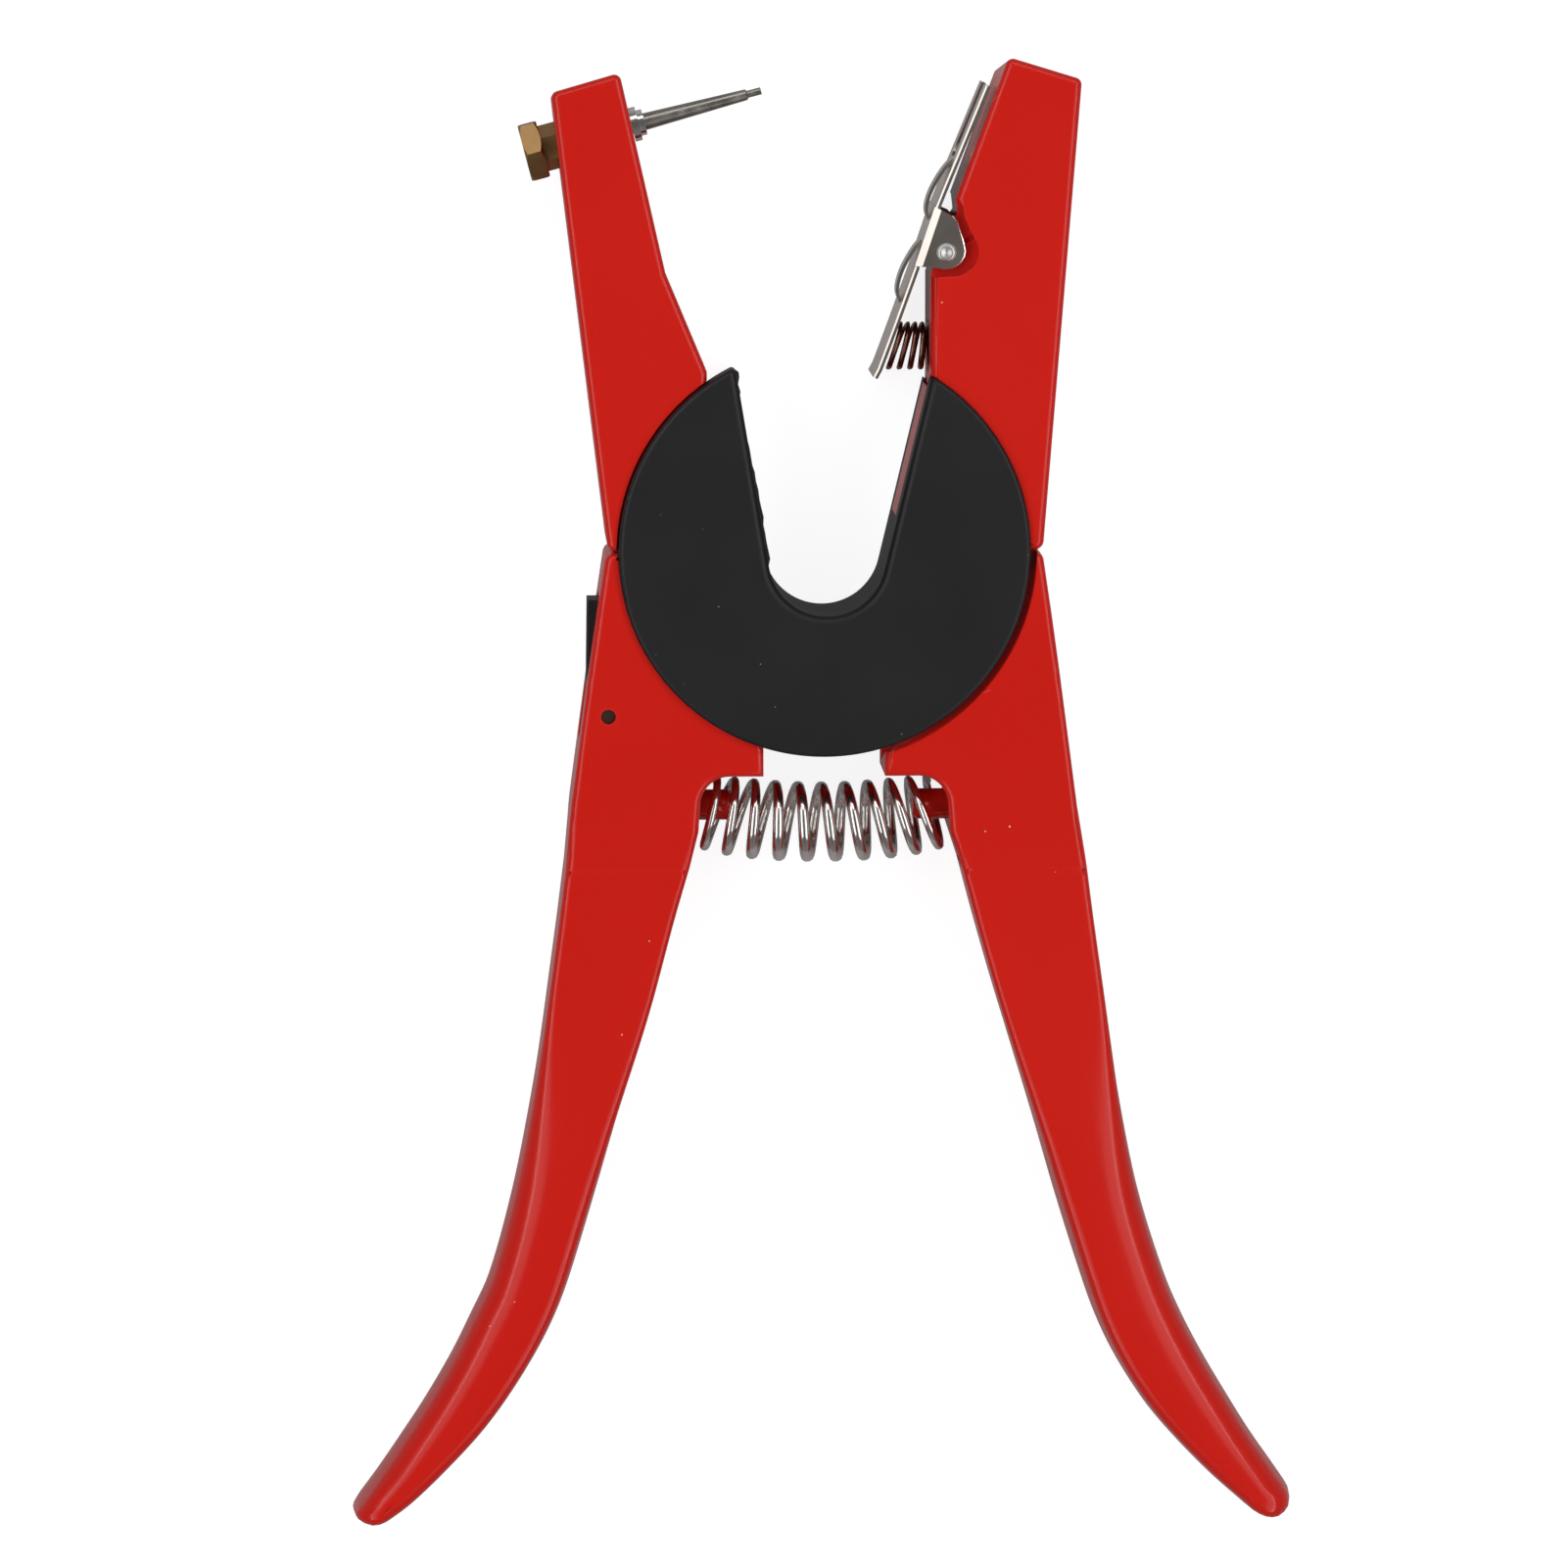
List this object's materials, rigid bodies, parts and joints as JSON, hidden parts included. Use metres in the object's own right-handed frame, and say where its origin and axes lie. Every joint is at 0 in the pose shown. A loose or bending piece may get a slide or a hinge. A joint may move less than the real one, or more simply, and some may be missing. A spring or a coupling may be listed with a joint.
{
  "type": "ear tag applicator pliers",
  "caption": "Open-throat pliers that press a two-part ear tag together: a piercing pin on one jaw, a sprung clip on the other.",
  "frame": {"origin": "middle of the footprint, on the plane that the back of the tool lies on", "axes": "+Y towards the jaws, +X to the right seen from the front, +Z out of the front face; the pivot axis runs along Z through x 0, y 42.38 mm"},
  "size_m": [0.1614, 0.2504, 0.0212],
  "materials": {
    "lever_paint": "gloss",
    "hub_black": "matte",
    "screw_steel": "satin",
    "spring_steel": "bright drawn wire",
    "pin_steel": "polished",
    "brass": "dull, machined",
    "clip_steel": "nickel plated",
    "dark_spring": "oiled dark wire"
  },
  "bodies": {
    "anvil_side": {"anvil_lever": "lever_paint", "front_cover": "hub_black", "back_cover": "hub_black", "cover_screws": "screw_steel", "return_spring": "spring_steel", "clip_spring": "dark_spring", "latch_pin": "screw_steel"},
    "pin_side": {"pin_lever": "lever_paint", "piercing_pin": "pin_steel", "pin_collar": "pin_steel", "pin_bush": "brass", "pin_screw": "brass"},
    "clip": {"tag_clip": "clip_steel", "clip_rivet": "clip_steel"},
    "latch": {"lock_latch": "hub_black"}
  },
  "joints": [
    {"name": "squeeze", "type": "hinge", "parent": "anvil_side", "child": "pin_side", "pos_m": [0, 0.04238, 0.01], "axis": [0, 0, -1], "range_deg": [0, 27], "stiffness_Nm_per_rad": 3, "springref_deg": -14.32, "deforming": ["return_spring"]},
    {"name": "clip_swing", "type": "hinge", "parent": "anvil_side", "child": "clip", "pos_m": [0.0205, 0.09268, 0.01], "axis": [0, 0, 1], "range_deg": [0, 10], "stiffness_Nm_per_rad": 0.25, "springref_deg": -8.59, "deforming": ["clip_spring"]},
    {"name": "latch_rock", "type": "hinge", "parent": "anvil_side", "child": "latch", "pos_m": [-0.0365, 0.01458, 0.01], "axis": [0, 0, -1], "range_deg": [0, 9]}
  ]
}
